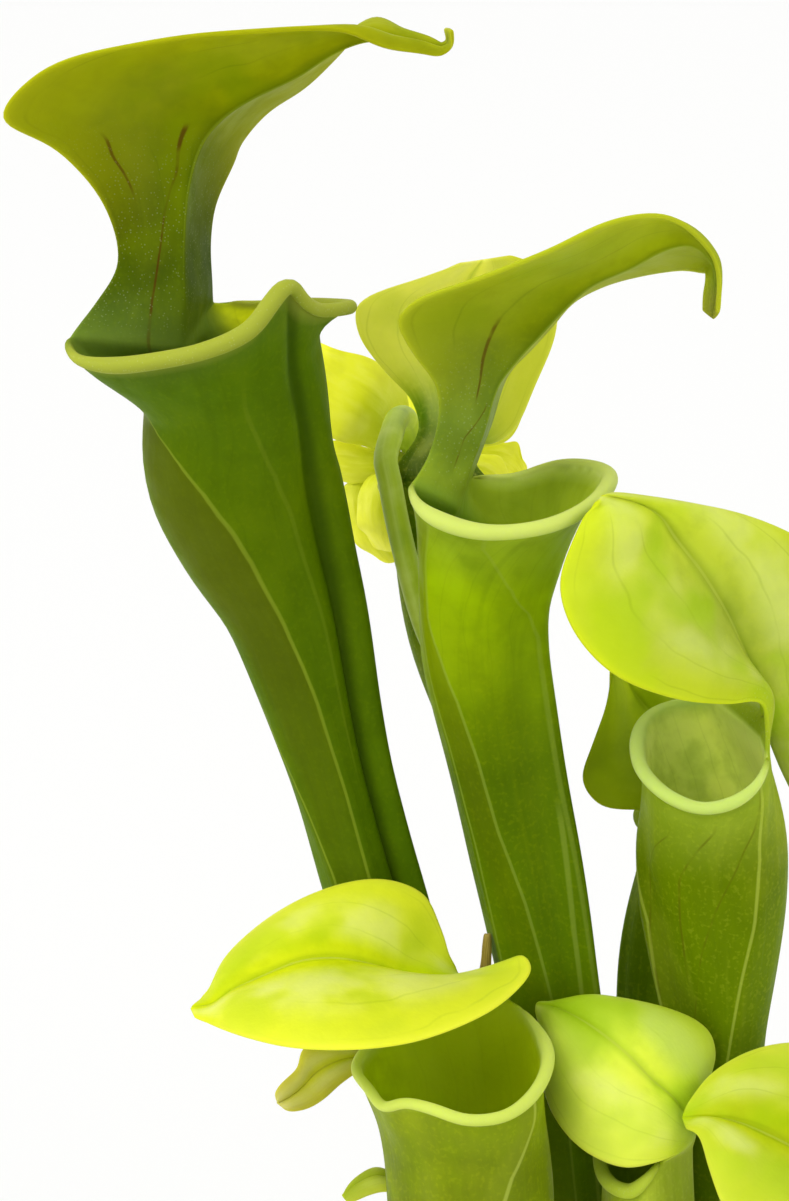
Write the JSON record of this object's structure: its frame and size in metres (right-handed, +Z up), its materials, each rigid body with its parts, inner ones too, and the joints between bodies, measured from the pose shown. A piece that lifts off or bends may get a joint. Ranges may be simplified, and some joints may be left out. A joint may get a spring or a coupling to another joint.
{
  "type": "sand mountain green pitcher plant",
  "caption": "Clump of slender green pitcher leaves with rolled rims and arching lids and a nodding yellow flower, lifted with its rhizome and roots, standing on them.",
  "frame": {"origin": "on the flat underside of the rhizome, under the middle of the clump", "axes": "+Z up along the leaves, -Y towards the viewer of the picture, +X to the viewer's right"},
  "size_m": [0.2063, 0.1767, 0.3845],
  "materials": {
    "tall_leaf": "satin, waxy living leaf",
    "middle_leaf": "satin, waxy living leaf",
    "right_leaf": "satin, waxy living leaf",
    "low_left_leaf": "satin, waxy living leaf",
    "low_middle_leaf": "satin, waxy living leaf",
    "low_right_leaf": "satin, waxy living leaf",
    "rear_leaf": "satin, waxy living leaf",
    "hidden_leaf": "satin, waxy living leaf",
    "young_leaf": "satin, waxy living leaf",
    "tiny_leaf": "satin, waxy living leaf",
    "stalk": "satin, light green",
    "petals": "soft satin, bright yellow",
    "withered": "dry and papery",
    "rhizome": "matt, brown and fibrous"
  },
  "bodies": {
    "root": {"tall_pitcher": "tall_leaf", "middle_pitcher": "middle_leaf", "right_pitcher": "right_leaf", "low_left_pitcher": "low_left_leaf", "low_middle_pitcher": "low_middle_leaf", "low_right_pitcher": "low_right_leaf", "rear_pitcher": "rear_leaf", "hidden_pitcher": "hidden_leaf", "young_pitcher": "young_leaf", "tiny_pitcher": "tiny_leaf", "flower_stalk": "stalk", "flower_head": "petals", "withered_leaf": "withered", "rhizome_with_roots": "rhizome"}
  },
  "joints": []
}
